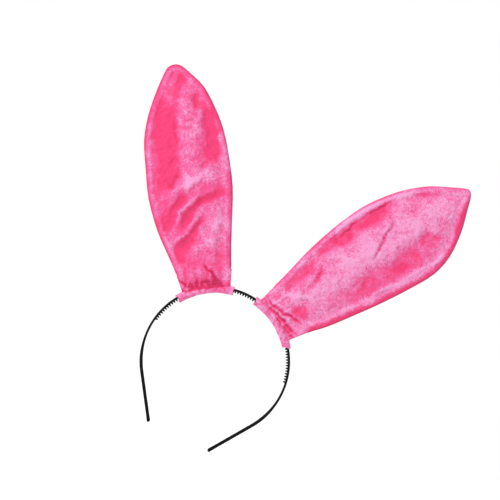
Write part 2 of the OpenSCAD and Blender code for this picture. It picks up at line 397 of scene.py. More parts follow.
def make_band(name, start, end, side, round_end=False):
    """The band from one distance to another, on the side x > 0 or x < 0, closed at both ends."""
    stations = list(np.linspace(start, end, max(12, int((end - start) / 1.2))))
    shrink = [1.0] * len(stations)
    if round_end:
        radius = BEAD / 2
        swing = [radians(a) for a in (15, 30, 45, 60, 75, 84)]
        stations += [end + radius * sin(a) for a in swing]
        shrink += [cos(a) for a in swing]
    rings = []
    for distance, share in zip(stations, shrink):
        place, out, thick = band_station(distance)
        rings.append([place + out * a + TO_BACK * b
                      for a, b in band_section(thick * share, HOOP_WIDE - BEAD * (1 - share))])
    points = np.array(rings)
    points[..., 0] *= side
    return link(name, grid_mesh(name, capped(points), close_columns=True), plastic)


# %% [markdown]
# The teeth are what repeats, so Geometry Nodes make them. The tree lays points along an arc, puts one
# small tapered blade on each, pointing at the hoop's centre, and joins them to the band that comes in.
# The blade has few faces because there are 74 of them.

# %% The comb, with Geometry Nodes
TOOTH_LONG, TOOTH_WIDE, TOOTH_SINK = 1.8, 3.2, 0.35
TOOTH_ROOT, TOOTH_MIDDLE, TOOTH_TIP = 1.9, 1.25, 0.5


def make_tooth():
    """One blade with its root at the origin, pointing down -Z, with softened edges."""
    mesh = bpy.data.meshes.new("tooth")
    levels = [(TOOTH_SINK, TOOTH_ROOT, TOOTH_WIDE), (0.0, TOOTH_ROOT, TOOTH_WIDE),
              (-0.55 * TOOTH_LONG, TOOTH_MIDDLE, TOOTH_WIDE * 0.94), (-TOOTH_LONG, TOOTH_TIP, TOOTH_WIDE * 0.7)]
    rings = []
    for z, long, wide in levels:
        soft = 0.3 * long
        rings.append([(a * (long / 2 - s), b * (wide / 2 - r), z) for a, b, s, r in (
            (1, 1, 0, soft), (1, 1, soft, 0), (-1, 1, soft, 0), (-1, 1, 0, soft),
            (-1, -1, 0, soft), (-1, -1, soft, 0), (1, -1, soft, 0), (1, -1, 0, soft))])
    tooth = link("tooth", grid_mesh("tooth", capped(np.array(rings)), close_columns=True), plastic)
    tooth.data.shade_flat()
    return tooth


def node_group(name, inputs):
    """A new group that takes a geometry and these inputs and gives a geometry, and its inputs' sockets."""
    tree = bpy.data.node_groups.new(name, "GeometryNodeTree")
    for socket, kind in {"Geometry": "Geometry", **inputs}.items():
        tree.interface.new_socket(socket, in_out="INPUT", socket_type=f"NodeSocket{kind}")
    tree.interface.new_socket("Geometry", in_out="OUTPUT", socket_type="NodeSocketGeometry")
    return tree, add(tree, "NodeGroupInput").outputs


def give_back(tree, geometry, material):
    """Makes the instances real, paints them, and sends the geometry out of the group."""
    real = add(tree, "GeometryNodeRealizeInstances", None, {0: geometry})
    painted = add(tree, "GeometryNodeSetMaterial", {"Material": material}, {0: real.outputs[0]})
    add(tree, "NodeGroupOutput", None, {0: painted.outputs[0]})
    return tree


def run_nodes(obj, tree, values):
    """Runs a group on an object, its inputs set by their names, and makes the result a plain mesh."""
    modifier = obj.modifiers.new(tree.name, "NODES")
    modifier.node_group = tree
    for item in tree.interface.items_tree:
        if item.item_type == "SOCKET" and item.in_out == "INPUT" and item.name in values:
            modifier[item.identifier] = values[item.name]
    return flatten(obj)


def comb_tree(tooth):
    """Teeth on an arc about a centre: first angle, step and count say where."""
    tree, given = node_group("comb teeth", {"First angle": "Float", "Angle step": "Float", "Teeth": "Int",
                                            "Radius": "Float", "Centre": "Vector"})
    points = add(tree, "GeometryNodePoints", None, {"Count": given["Teeth"]}).outputs[0]
    index = add(tree, "GeometryNodeInputIndex").outputs[0]
    angle = work_out(tree, "MULTIPLY_ADD", index, given["Angle step"], given["First angle"])
    sine, cosine = work_out(tree, "SINE", angle), work_out(tree, "COSINE", angle)
    out = add(tree, "ShaderNodeCombineXYZ", None, {"X": sine, "Z": cosine}).outputs[0]
    reach = add(tree, "ShaderNodeVectorMath", None, {0: out, "Scale": given["Radius"]}, operation="SCALE")
    place = add(tree, "ShaderNodeVectorMath", None, {0: reach.outputs[0], 1: given["Centre"]}, operation="ADD")
    turned = add(tree, "ShaderNodeCombineXYZ", None, {"Y": angle}).outputs[0]
    laid = add(tree, "GeometryNodeSetPosition", None, {"Geometry": points, "Position": place.outputs[0]})
    blade = add(tree, "GeometryNodeObjectInfo", {"Object": tooth})
    teeth = add(tree, "GeometryNodeInstanceOnPoints", None,
                {"Points": laid.outputs[0], "Instance": blade.outputs["Geometry"], "Rotation": turned})
    joined = add(tree, "GeometryNodeJoinGeometry", None, {0: given["Geometry"]})
    tree.links.new(teeth.outputs[0], joined.inputs[0])
    return give_back(tree, joined.outputs[0], plastic)


def add_comb(band, first, count, side):
    """Puts teeth on a band, from a first clock angle in degrees."""
    run_nodes(band, comb, {"First angle": side * radians(first), "Angle step": side * radians(COMB_STEP),
                           "Teeth": count, "Radius": HOOP_IN * MM, "Centre": [c * MM for c in CENTRE]})


tooth = make_tooth()
comb = comb_tree(tooth)

# %% The three pieces of the hoop
middle = HOOP_IN + BAND / 2
cut_at = middle * radians(CUT)
arm_end = middle * turn_at + straight - BEAD / 2
crown_half = int(CUT / COMB_STEP)
crown = make_band("hoop_crown_band", -cut_at, cut_at, 1)
add_comb(crown, -(crown_half - 0.5) * COMB_STEP, 2 * crown_half, 1)
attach(crown, "hoop")
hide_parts("hoop_crown")
for side_name, side in (("left", -1), ("right", 1)):
    arm = make_band(f"hoop_{side_name}_arm_band", cut_at, arm_end, side, round_end=True)
    count = int((COMB_END - CUT) / COMB_STEP + 0.5)
    add_comb(arm, CUT + COMB_STEP / 2, count, side)
    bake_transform(arm)
    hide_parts(f"hoop_{side_name}_arm")
bpy.data.objects.remove(tooth)

# %% [markdown]
# ## The ears' own frame
# An ear is cut flat, so it is easiest to describe flat: t runs across it, h runs up it from its lower
# seam, and y is out of the cloth. The tilt joint gives the clock angle and the height of the neck.

# %% One frame for each ear
NECK_TO_SEAM = 3.0
CORNER = 3.5


class Ear:
    """The flat frame and the outline of one ear, read from the joint at its neck and its front panel."""

    def __init__(self, name):
        self.name = name
        self.neck = np.array(joints[f"{name}_ear_tilt"]["pos_m"]) / MM - CENTRE
        self.neck_s = hypot(self.neck[0], self.neck[2])
        clock = atan2(self.neck[0], self.neck[2])
        self.out, self.across = compass(clock)
        self.base_s = self.neck_s + NECK_TO_SEAM
        self.read_outline()

    def place(self, t, h, y):
        """Points of the flat frame in the row frame, in mm."""
        t, h, y = np.broadcast_arrays(t, h, y)
        s = h + self.base_s
        return CENTRE + t[..., None] * self.across + s[..., None] * self.out + y[..., None] * TO_BACK

    def read_outline(self):
        """The outline of the cut panel, from the flat outer face of the CAD panel."""
        spots = coordinates(frame["nodes"][f"{self.name}_ear_front"].data)
        spots = np.unique(np.round(spots[spots[:, 1] < spots[:, 1].min() + 0.05], 3), axis=0) - CENTRE
        flat = np.stack([spots @ self.across, spots @ self.out - self.base_s], 1)
        turn = np.arctan2(flat[:, 1] - flat[:, 1].mean(), flat[:, 0] - flat[:, 0].mean())
        self.loop = flat[np.argsort(turn)]
        self.long = self.loop[:, 1].max()
        tip = self.loop[self.loop[:, 1].argmax(), 0]
        split = np.interp(self.loop[:, 1], [0, 0.6 * self.long, self.long], [0, 0, tip])
        # the lower seam and its corners belong to neither edge
        on_edge = self.loop[:, 1] > CORNER
        for side, chosen in (("left", self.loop[:, 0] <= split), ("right", self.loop[:, 0] >= split)):
            edge = self.loop[chosen & on_edge]
            edge = edge[np.argsort(edge[:, 1])]
            setattr(self, side, edge)

    def edges(self, h):
        """The left and right edge at height h. Below the seam the edges draw in a little."""
        tuck = 1 - 0.010 * np.clip(9 - h, 0, 13)
        left = np.interp(h, self.left[:, 1], self.left[:, 0]) * tuck
        right = np.interp(h, self.right[:, 1], self.right[:, 0]) * tuck
        return left, right


ears = {name: Ear(name) for name in ("left", "right")}

# %% [markdown]
# ## Folds
# Velour folds where the wire bends and where the hem gathers it. Each fold is a line on the flat ear, a width,
# a height out of the cloth, and how far it raises or lays the pile, which paints a ridge paler, as sheen, and a
# hollow or crease deeper, as shade. They were chosen one by one.

# %% Folds of each ear: points (t, h), width, height, pile (painted sheen when above 0, painted shade below)
LEFT_FOLDS = [
    ([(9, 172), (4, 152), (4, 130), (5, 110), (6, 92)], 9.5, 1.2, 0.20),
    ([(21, 150), (15, 140), (10, 128)], 3.0, 0.7, 0.18), ([(34, 128), (36, 105), (34, 84)], 6.5, 0.5, 0.26),
    ([(30, 89), (20, 87), (8, 88), (-8, 83)], 5.5, 1.0, 0.46),
    ([(-32, 67), (-20, 76), (-12, 80), (-3, 82), (8, 86)], 3.2, 1.3, 0.26),
    ([(-24, 38), (-18, 48), (-10, 60), (-3, 65), (5, 75), (12, 80)], 2.4, 1.2, 0.24),
    ([(-27, 32), (-10, 38), (-3, 48), (5, 56), (12, 61)], 2.4, 1.2, 0.26),
    ([(10, 22), (12, 38), (18, 50), (24, 60)], 9.5, 1.0, 0.42),
    ([(-20, 16), (-8, 22), (2, 30)], 3.2, 0.8, 0.22),
    ([(6, 180), (5, 172), (0, 165), (-4, 156)], 3.0, -1.1, -0.30),
    ([(-12, 158), (-14, 140), (-15, 120), (-16, 100), (-19, 87), (-27, 76)], 9.0, -1.8, -0.42),
    ([(-5, 150), (-6, 125), (-6, 102), (-12, 88), (-24, 77)], 2.0, -1.0, -0.10),
    ([(15, 160), (13, 152), (12, 145)], 2.8, -1.0, -0.34),
    ([(22, 154), (24, 138), (25, 118), (21, 99)], 6.0, -1.3, -0.32),
    ([(17, 126), (15, 102)], 5.5, -0.5, -0.14),
    ([(-5, 76), (-14, 64), (-22, 55), (-27, 43)], 3.8, -1.8, -0.44),
    ([(31, 76), (20, 71), (5, 66), (-5, 57), (-15, 46)], 3.6, -1.8, -0.44),
    ([(10, 56), (0, 46), (-8, 34), (-18, 28), (-18, 16)], 4.0, -1.7, -0.42),
    ([(-19, 32), (-17, 14)], 4.6, -1.0, -0.30), ([(-26, 60), (-30, 52)], 3.0, -0.6, -0.25),
    ([(0, 14), (8, 4), (15, -9)], 1.3, -1.8, -0.50), ([(4, 15), (12, 5), (18, -8)], 1.4, 1.2, 0.25),
    ([(-17, 13), (-14, 4), (-15, -3)], 1.3, -1.2, -0.30), ([(-24, 0), (-17, -5), (-10, -11)], 1.8, 1.8, 0.50),
    ([(-24, 8), (-20, 0), (-14, -6)], 1.3, -1.6, -0.45),
    ([(-19, -4), (-6, -4.5), (8, -4.5), (17, -5)], 2.3, -1.0, -0.28),
    ([(-12, 4), (-2, 6), (8, 12)], 5.0, 0.6, 0.22), ([(18, 12), (20, 2), (20, -6)], 3.0, 0.8, 0.22),
    ([(-27, 40), (-25, 28), (-22, 16)], 2.6, 0.6, 0.16),
    ([(-33, 120), (-34, 100), (-34, 82)], 3.0, 0.5, 0.12), ([(16, 94), (26, 97), (32, 104)], 2.4, 0.7, 0.16),
]
RIGHT_FOLDS = [
    ([(-6, 60), (-3, 80), (0, 100), (0, 116)], 9.0, 1.2, 0.16),
    ([(2, 120), (0, 145), (4, 168), (3, 185)], 9.0, 0.9, 0.14),
    ([(-6, 28), (-4, 40), (-2, 55)], 7.0, 0.8, 0.16),
    ([(21, 28), (26, 52), (30, 80), (34, 110), (35, 132), (31, 152)], 1.9, 1.5, 0.30),
    ([(13, 72), (18, 58)], 1.8, 0.9, 0.30), ([(-35, 60), (-37, 90), (-35, 110), (-32, 132)], 2.0, 0.8, 0.30),
    ([(-20, 8), (-5, 21), (6, 30)], 2.6, 1.2, 0.25), ([(-24, 125), (-16, 116), (-8, 114)], 2.2, 1.0, 0.12),
    ([(-30, 72), (-32.5, 92), (-32, 114), (-28, 140)], 0.9, -1.1, -0.30),
    ([(-37, 84), (-38, 100), (-36, 120), (-31, 140)], 1.4, 0.9, 0.25),
    ([(-13, 121), (-8, 110), (-2, 101), (3, 89)], 1.1, -1.7, -0.50),
    ([(-21, 8), (-21, 30), (-22, 50)], 5.5, -1.3, -0.46),
    ([(-27, 44), (-30, 62), (-29, 80), (-27, 98), (-27, 116), (-27, 138)], 8.0, -1.6, -0.48),
    ([(-33, 64), (-33, 78)], 3.2, -0.6, -0.22), ([(-27, 92), (-28, 116)], 3.2, -0.6, -0.22),
    ([(-18, 53), (-12, 45), (-6, 27)], 1.8, -1.2, -0.40),
    ([(20, 34), (19, 60), (19, 82), (20, 100), (20, 118), (18, 134), (14, 152)], 10.0, -1.6, -0.35),
    ([(25, 118), (21, 98)], 3.0, -0.6, -0.24), ([(12, 132), (13, 142), (21, 152)], 4.0, -0.9, -0.24),
    ([(-24, 148), (-19, 163), (-13, 174)], 3.4, -0.7, -0.36),
    ([(27, 160), (19, 169), (12, 177)], 3.0, -0.5, -0.26), ([(-2, 5), (6, 12), (11, 20)], 4.5, -1.2, -0.46),
    ([(-23, -4), (-10, -2), (0, 1), (9, 5), (16, 10)], 1.2, -2.2, -0.60),
    ([(-22, -8), (-8, -5), (4, -3), (14, -2), (22, 0)], 1.2, -2.2, -0.60),
    ([(-22, -1), (-9, 1), (1, 4), (8, 9)], 1.3, 1.3, 0.25),
    ([(-20, -6), (-8, -3), (4, -1), (14, 1)], 1.3, 1.5, 0.30),
    ([(4, -7), (14, -6), (22, -5)], 1.8, -1.0, -0.55),
]
FOLDS = {"left": LEFT_FOLDS, "right": RIGHT_FOLDS}
EAR_BASE = {"left": 0.38, "right": 0.72}
# a hollow wider than this has a flat middle, and a fold narrower than the next one is a crease
PLATEAU = 3.4
CREASE_WIDTH = 2.3
# the nap of pile that lies quite flat
FLAT_PILE = 0.17
FAR = 1e9


def ripple(t, h, size, seed):
    """Smooth noise between about -0.5 and 0.5, with features about `size` mm across."""
    spots = zip(np.ravel(t) / size, np.ravel(h) / size)
    values = [noise.noise(Vector((a, b, 7.3 * seed))) for a, b in spots]
    return np.array(values).reshape(np.shape(t)) * 0.9


def gap_to(t, h, start, end):
    """The distance of each point from a straight line, and the share of the line before the nearest place."""
    (a, b), (u, v) = start, np.subtract(end, start)
    share = np.clip(((t - a) * u + (h - b) * v) / (u * u + v * v + 1e-12), 0, 1)
    return np.hypot(t - a - share * u, h - b - share * v), share


def stroke(t, h, points, width, flat):
    """1 along a line of points and falling off over `width`, fading at both ends."""
    nearest = np.full(np.shape(t), FAR)
    along = np.zeros(np.shape(t))
    travelled = 0.0
    for start, end in zip(points[:-1], points[1:]):
        gap, share = gap_to(t, h, start, end)
        length = dist(start, end)
        closer = gap < nearest
        nearest = np.where(closer, gap, nearest)
        along = np.where(closer, travelled + share * length, along)
        travelled += length
    fade = np.minimum(along, travelled - along) / (0.22 * travelled)
    # a broad hollow has a flat middle and a firmer edge than a ridge or a crease
    return np.exp(-(nearest / width) ** (3.2 if flat else 2)) * ease(fade, -0.3, 1.0)


def edge_distance(ear, t, h):
    """How far inside the outline each point is."""
    low = ear.edges(np.array([-12.0]))
    loop = ear.loop
    above = loop[loop[:, 1] > 0.3]
    turn = np.arctan2(above[:, 1] - 60, above[:, 0])
    above = above[np.argsort((turn + pi / 2) % (2 * pi))]
    line = np.vstack([[low[1][0], -12], above, [low[0][0], -12]])
    nearest = np.full(np.shape(t), FAR)
    for start, end in zip(line[:-1], line[1:]):
        nearest = np.minimum(nearest, gap_to(t, h, start, end)[0])
    return nearest


# %% [markdown]
# A gathered hem puckers: short folds fan up from the row of stitches and die out.

# %% Puckers at the neck
def pucker(t, seed):
    """Uneven folds across the neck, between about -1 and 1."""
    wander = t + 3.5 * ripple(t, np.zeros_like(t), 9.0, seed)
    return 0.65 * np.sin(wander * 2 * pi / 7.0 + seed) + 0.5 * np.sin(wander * 2 * pi / 4.1 + 2 * seed)


# %% [markdown]
# ## A grid over each ear
# Both the cloth simulation and the finished panels use the same grid, coarse or fine: rows up to the tip
# and columns from edge to edge.

# %% The grid and the plain shape
CLOTH = 0.9
WIRE_INSET = 4.6
LEAST_HEIGHT = 1.7
BELOW_SEAM = -7.0
SIDE_SEED = {"left": 3, "right": 8}


def panel_grid(ear, step=0.9, columns=88, inset=0.0):
    """Places on the flat ear: rows up to the tip, columns from edge to edge, closer at every edge."""
    top = ear.long - inset
    share = np.linspace(0, 1, int((top - BELOW_SEAM) / step))
    # the last rows crowd together so that the tip is round
    rise = np.where(share < 0.9, share, 0.9 + 0.1 * np.sin((share - 0.9) / 0.1 * pi / 2))
    h = BELOW_SEAM + (top - BELOW_SEAM) * rise
    left, right = ear.edges(h)
    across = np.linspace(-1, 1, columns)
    across = 0.72 * across + 0.28 * np.sin(across * pi / 2)
    middle, half = (left + right) / 2, np.maximum((right - left) / 2 - inset, inset)
    t = middle[:, None] + half[:, None] * across[None]
    # the lowest rows follow the hoop, and the rows above them straighten
    ring = ear.base_s + BELOW_SEAM
    drop = (np.sqrt(ring ** 2 - t ** 2) - ring) * (1 - ease(h, BELOW_SEAM, 14))[:, None]
    return t, h[:, None] + drop


def plain_height(d):
    """The cloth's height over the ear's middle plane without any fold: a round rim and a full middle."""
    return 1.75 * (1 - np.exp(-d / 0.75)) + 2.3 * ease(d, 5.5, 18.0)


# %% [markdown]
# ## Cloth simulation
# The panels are cut wider than the ear, above all at the gathered hem. Here both start in the finished
# outline, held along the wire and at the hem, with the wider cut as their rest shape. The spare cloth
# buckles, and the wadding's push keeps it up.

# %% Let the spare cloth buckle
SIM_STEP, SIM_COLUMNS, SIM_FRAMES = 2.2, 41, 30
SPARE_CLOTH, GATHERED_CLOTH = 1.08, 0.30
WADDING_PUSH = 0.5
VELOUR_CLOTH = {"quality": 6, "mass": 0.1, "air_damping": 1.0, "tension_stiffness": 12.0,
                "compression_stiffness": 12.0, "shear_stiffness": 4.0, "bending_stiffness": 0.05,
                "use_pressure": True}
# a buckle is held to this height, in mm
CLOTH_CAP = 2.6


def rest_cut(ear, t, h):
    """Where the points lie in the flat cut, which is wider than the finished ear."""
    wide = SPARE_CLOTH + GATHERED_CLOTH * np.exp(-np.clip(h, 0, None) / 16.0)
    return t * wide, h * (1 + 0.6 * (SPARE_CLOTH - 1))


def simulate(ear):
    """How far each point of the coarse grid rises, for the front and the back panel, in mm."""
    t, h = panel_grid(ear, SIM_STEP, SIM_COLUMNS, inset=0.6)
    d = edge_distance(ear, t, h)
    plain = plain_height(d) + 0.5 * ripple(t, h, 8, SIDE_SEED[ear.name])
    count = t.size
    number = np.arange(count).reshape(t.shape)
    faces = np.stack([number[:-1, :-1], number[:-1, 1:], number[1:, 1:], number[1:, :-1]], -1).reshape(-1, 4)
    start = [ear.place(t, h, sign * plain).reshape(-1, 3) for sign in (-1, 1)]
    wide_t, wide_h = rest_cut(ear, t, h)
    cut = [ear.place(wide_t, wide_h, sign * plain).reshape(-1, 3) for sign in (-1, 1)]
    mesh = bpy.data.meshes.new("ear cloth")
    mesh.from_pydata(row(np.vstack(start)).tolist(), [], faces.tolist() + (faces[:, ::-1] + count).tolist())
    cloth = link("ear cloth", mesh, velour)
    cloth.shape_key_add(name="finished")
    flat = cloth.shape_key_add(name="cut")
    flat.data.foreach_set("co", row(np.vstack(cut)).ravel().astype(np.float32))
    flat.value = 0.0
    held = cloth.vertex_groups.new(name="held")
    pinned = np.maximum(1 - ease(d, WIRE_INSET, WIRE_INSET + 2.5), 1 - ease(h, -5.0, -1.0)).ravel()
    for k, weight in enumerate(np.concatenate([pinned, pinned])):
        if weight > 0.01:
            held.add([k], float(weight), "REPLACE")
    settings = cloth.modifiers.new("cloth", "CLOTH").settings
    for setting, value in VELOUR_CLOTH.items():
        setattr(settings, setting, value)
    settings.vertex_group_mass = held.name
    settings.rest_shape_key = flat
    settings.uniform_pressure_force = WADDING_PUSH
    settings.effector_weights.gravity = 0.0
    scene = bpy.context.scene
    for step in range(1, SIM_FRAMES + 1):
        scene.frame_set(step)
    graph = bpy.context.evaluated_depsgraph_get()
    y = coordinates(cloth.evaluated_get(graph).data)[:, 1]
    scene.frame_set(1)
    bpy.data.objects.remove(cloth)
    front = -y[:count].reshape(t.shape) - plain
    back = y[count:].reshape(t.shape) - plain
    return tuple(CLOTH_CAP * np.tanh(rise / CLOTH_CAP) for rise in (front, back))


def refine(values, shape):
    """Coarse grid values on a finer grid of the same ear, made smooth."""
    rows, columns = (np.linspace(0, n - 1, m) for n, m in zip(values.shape, shape))
    tall = np.stack([np.interp(rows, np.arange(values.shape[0]), column) for column in values.T], 1)
    fine = np.stack([np.interp(columns, np.arange(values.shape[1]), line) for line in tall])
    for _ in range(4):
        fine[1:-1] = 0.25 * fine[:-2] + 0.5 * fine[1:-1] + 0.25 * fine[2:]
        fine[:, 1:-1] = 0.25 * fine[:, :-2] + 0.5 * fine[:, 1:-1] + 0.25 * fine[:, 2:]
    return fine


rises = {name: dict(zip(("front", "back"), simulate(ear))) for name, ear in ears.items()}

# %% [markdown]
# ## Ear panels
# Each ear is two velour panels sewn edge to edge. The wire lifts a low ridge near the edge, the wadding
# fills the middle, and the folds lie over both.

# %% The height of the cloth above the middle of the ear, and its nap with painted sheen and shade
ROLL_TOP = 65.4
# how much the valley over the casing is darkened, as painted shade
SEAM_VALLEY_SHADE = {"left": 0.20, "right": 0.14}


def panel_fields(ear, t, h, face, risen):
    """The height of the outer surface over the ear's middle plane in mm, and the nap with its painted sheen and
    shade, for each point.
    """
    seed = SIDE_SEED[ear.name] + (0 if face == "front" else 20)
    folds = ear.name if face == "front" else ("right" if ear.name == "left" else "left")
    d = edge_distance(ear, t, h)

    def wave(size, number):
        return ripple(t, h, size, seed + number)

    # everything that follows is drawn on slightly stirred places, so that no fold is a clean curve
    stir_t = t + 2.4 * wave(11, 1) + 1.2 * wave(4.5, 2)
    stir_h = h + 3.0 * wave(11, 3) + 1.2 * wave(4.5, 4)
    wire_at = WIRE_INSET + 1.2 * wave(16, 5)
    ridge = np.exp(-((d - wire_at) / 2.1) ** 2)
    inside = ease(d, 4.0, 12.0)
    height = plain_height(d) + 1.15 * ridge
    uneven = 1 + 2.2 * wave(13, 11)
    # the wire's ridge is painted paler, as sheen on it, and the outline deeper, as painted shade
    nap = EAR_BASE[folds] + 0.14 * ridge * uneven - 0.24 * np.exp(-(d / 1.6) ** 2)
    # the right ear's outer edge is rolled over, and a band along it is painted deep, as shade along the roll
    rolled_edge_shade = (t > 6) & (folds == "right")
    nap = nap - np.where(rolled_edge_shade, 0.55, 0.0) * np.exp(-(d / 5.6) ** 4) * ease(h, 2, 14)
    lift = risen.copy()
    # cloth that the simulation raised is painted paler, as sheen on it
    nap = nap + 0.10 * (risen - risen.mean())
    crease_shade_and_sheen = np.zeros_like(t)
    for points, width, tall, pile in FOLDS[folds]:
        mark = stroke(stir_t, stir_h, points, width, tall < 0 and width > PLATEAU)
        lift = lift + tall * mark
        # a wide fold paints sheen on a ridge and shade in a hollow; a narrow one adds painted crease shade or a
        # thin painted sheen line
        if width > CREASE_WIDTH:
            nap = nap + pile * mark * (1 + 0.4 * wave(6, 6))
        else:
            crease_shade_and_sheen = crease_shade_and_sheen + pile * mark
    small = ripple(stir_t, stir_h, 7.0, seed + 7)
    crush = np.abs(ripple(stir_t, stir_h, 5.0, seed + 8))
    lift = lift + 0.9 * small + 1.3 * (0.16 - crush) + 0.35 * wave(2.2, 9)
    # the same ripples that lift the cloth paint it paler, as sheen on the bumps, and deeper in the dips, as
    # shade
    nap = nap + 0.20 * small + 0.22 * (0.16 - crush) + 0.16 * wave(18, 10)
    nap = nap + 0.22 * wave(2.6, 12) * ease(nap, 0.2, 0.7)
    gathered = np.exp(-np.clip(h + 4, 0, None) / 9.0)
    puckers = pucker(stir_t, SIDE_SEED[ear.name])
    # lying pile is all one colour, so only the painted crease shade goes below it; pucker ridges get painted
    # sheen, their hollows painted shade, and a painted shade line runs along the outline
    nap = np.maximum(nap, FLAT_PILE) + crease_shade_and_sheen + 0.22 * puckers * gathered - 0.20 * np.exp(-(d / 0.9) ** 2)
    # at the lower seam the two panels are drawn together over the casing's web
    ring = np.hypot(t, h + ear.base_s)
    drawn = ease(h, -6.5, 6.0)
    height = height * (0.52 + 0.48 * drawn)
    height = height + lift * (0.35 + 0.65 * inside) * ease(d, 0, 3) + 0.9 * puckers * gathered * inside
    least = 1.5 + (LEAST_HEIGHT + 1.2 - 1.5) * ease(h, -4, 3) * (1 - ease(h, 8, 20))
    least = np.where(h > 8, np.maximum(least, LEAST_HEIGHT), least) * (1 - np.exp(-d / 0.75))
    height = least + np.logaddexp(0, (height - least) * 2.5) / 2.5 * (1 - np.exp(-d / 0.6))
    # the lowest edge tucks into the roll round the hoop
    tucked = ease(ring, ROLL_TOP - 1.2, ROLL_TOP + 0.4)
    height = height * (0.40 + 0.60 * tucked)
    # just above the casing the cloth is painted deeper, as shade in the valley
    valley_shade = (1 - ease(ring, 67.5, 71.5)) * SEAM_VALLEY_SHADE[folds]
    nap = nap - valley_shade
    return height, np.clip(nap, 0, 1), d


def closed_sheet(name, outer, inner, values, material):
    """A thin closed piece from its outer and inner surface, joined along every edge."""
    ring = np.concatenate([outer, inner[:, ::-1]], 1)
    nap = np.concatenate([values, values[:, ::-1]], 1)
    half = (outer + inner) / 2
    ends = np.concatenate([half, half[:, ::-1]], 1)
    points = np.concatenate([ends[:1], ring, ends[-1:]])
    nap = np.concatenate([nap[:1], nap, nap[-1:]])
    return link(name, grid_mesh(name, points, close_columns=True, values=nap), material)


# %% Sew the panels
# a height on the ear's neck above its casing: a point there is worked out and not used
BEND_UP_TO = 7.0
surfaces = {}
for name, ear in ears.items():
    t, h = panel_grid(ear)
    surfaces[name] = [t, h]
    for face, sign in (("front", -1), ("back", 1)):
        height, nap, d = panel_fields(ear, t, h, face, refine(rises[name][face], t.shape))
        surfaces[name].append(height)
        inner = np.clip(height - CLOTH, 0, None) * ease(d, 0.0, 1.0)
        panel = closed_sheet(f"{name}_{face}_panel", ear.place(t, h, sign * height),
                             ear.place(t, h, sign * inner), nap, velour)
        start = ear.place(0.0, -NECK_TO_SEAM, 0.0)
        end = ear.place(0.0, BEND_UP_TO, 0.0)
        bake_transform(panel)
        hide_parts(f"{name}_ear_{face}")

# %% [markdown]
# ## Wadding
# A thin layer of needled wadding keeps the ear full. It stops short of the wire and takes the shape of
# the cloth over it.

# %% Wadding pads
PAD_INSET = 8.4
PAD_GAP = 1.1
PAD_COLUMNS = 36
for name, ear in ears.items():
    t, h, front, back = (grid[::2] for grid in surfaces[name])
    middle = t.shape[1] // 2
    inside = (h[:, middle] > PAD_INSET) & (h[:, middle] < ear.long - PAD_INSET) \
        & (t[:, -1] - t[:, 0] > 2 * PAD_INSET + 2)
    lines = []
    for k in np.flatnonzero(inside):
        x = np.linspace(t[k, 0] + PAD_INSET, t[k, -1] - PAD_INSET, PAD_COLUMNS)
        lines.append([x] + [np.interp(x, t[k], grid[k]) for grid in (h, front, back)])
    x, up, front, back = (np.array(part) for part in zip(*lines))
    border = np.minimum(x - x[:, :1], x[:, -1:] - x)
    border = np.minimum(border, np.minimum(up - up.min(), up.max() - up))
    full = ease(border, 0, 3) * 0.9 + 0.1
    pad = closed_sheet(f"{name}_ear_pad", ear.place(x, up, -np.maximum(front - PAD_GAP, 0.3) * full),
                       ear.place(x, up, np.maximum(back - PAD_GAP, 0.3) * full), x * 0, wadding_fibre)
    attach(pad, f"{name}_ear")
    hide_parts(f"{name}_ear_wadding")

# %% [markdown]
# ## Casings
# The hem of each ear is turned round the hoop and stitched through just above it: a soft roll, then a
# drawn-in valley, then the ear. The roll follows the hoop and the stitched line is straight, so the
# valley is widest at its middle.

# %% The section of a casing
CASE_ANGLE = 22.5
CASE_LOW = 59.1
# the bore's lowest and highest distance from the hoop's centre, and half its width
BORE = (60.8, 65.3, 2.9)
BORE_SQUARE = 0.55


def casing_top(angle):
    """How far from the hoop's centre the hem reaches, at this angle from the ear's middle, in mm."""
    turn = radians(abs(angle))
    straight_line = (ear.neck_s - 0.6) / cos(turn)
    return float(straight_line + (66.6 - straight_line) * ease(abs(angle), 11.0, 18.5))


def outer_section(low, top, fat, waist):
    """Half of a casing's section from its bottom up to its top, as (distance, half thickness)."""
    roll = [(low, 0.0), (low + 0.25, 0.42 * fat), (low + 1.1, 0.78 * fat), (low + 2.4, 0.98 * fat),
            (low + 3.9, 0.96 * fat), (low + 5.2, 0.86 * fat), (low + 6.1, 0.70 * fat)]
    web = [(min(low + 7.0, top - 0.5), waist + 0.6), (max(low + 7.8, top - 1.4), waist),
           (top - 0.3, 0.7 * waist), (top, 0.0)]
    return np.array(roll + web)


def soften(line, count):
    """A smooth run of `count` points through a short list of points."""
    steps = np.concatenate([[0], np.cumsum(np.hypot(*np.diff(line, axis=0).T))])
    places = np.linspace(0, steps[-1], count)
    coarse = np.stack([np.interp(places, steps, line[:, k]) for k in (0, 1)], 1)
    for _ in range(3):
        coarse[1:-1] = 0.25 * coarse[:-2] + 0.5 * coarse[1:-1] + 0.25 * coarse[2:]
    return coarse


# %% Sew the casings
CASE_ROWS, CASE_POINTS = 90, 44
# how deep the valley between the roll and the ear is painted, as shade, and over which distances
ROLL_SHADE_DEPTH = {"left": 0.80, "right": 0.40}
ROLL_SHADE = {"left": (62.2, 63.9), "right": (63.4, 66.0)}


